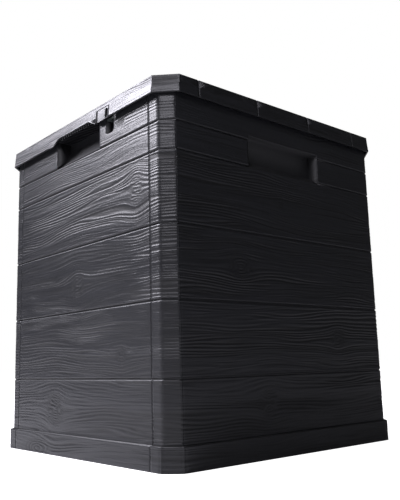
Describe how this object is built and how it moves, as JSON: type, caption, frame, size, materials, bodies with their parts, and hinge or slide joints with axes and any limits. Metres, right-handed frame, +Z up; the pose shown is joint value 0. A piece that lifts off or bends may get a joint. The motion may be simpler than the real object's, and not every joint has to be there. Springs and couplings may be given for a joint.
{
  "type": "deck storage box",
  "caption": "Upright resin storage box with wood-grained plank walls, chamfered corners, a hinged overhanging lid, side hand grips and a padlock eye.",
  "frame": {"origin": "middle of the footprint, on the ground under the floor panel", "axes": "+Z up, +X to the right seen from the front, -Y to the front where the finger recess and padlock eye are"},
  "size_m": [0.52, 0.5378, 0.57],
  "materials": {
    "grained_resin": "anthracite, moulded wood-grain relief, satin on the ridges",
    "plain_resin": "anthracite, plain moulded",
    "coated_steel": "dark grey-green coating, satin",
    "zinc_steel": "zinc plated"
  },
  "bodies": {
    "box": {"floor_panel": "plain_resin", "front_panel": "grained_resin", "rear_panel": "grained_resin", "left_side_panel": "grained_resin", "right_side_panel": "grained_resin", "corner_screws": "zinc_steel", "lock_bracket": "coated_steel", "bracket_screws": "zinc_steel", "hinge_wall_leaf_left": "coated_steel", "hinge_wall_leaf_right": "coated_steel", "wall_leaf_screws": "zinc_steel", "hinge_pin_left": "zinc_steel", "hinge_pin_right": "zinc_steel", "pin_clips": "zinc_steel"},
    "lid": {"lid_shell": "grained_resin", "lid_frame": "plain_resin", "lid_frame_screws": "zinc_steel", "hinge_lid_leaf_left": "coated_steel", "hinge_lid_leaf_right": "coated_steel", "lid_leaf_rivets": "zinc_steel"}
  },
  "joints": [
    {"name": "lid_hinge", "type": "hinge", "parent": "box", "child": "lid", "pos_m": [0, 0.2645, 0.534], "axis": [-1, 0, 0], "range_deg": [0, 100]}
  ]
}
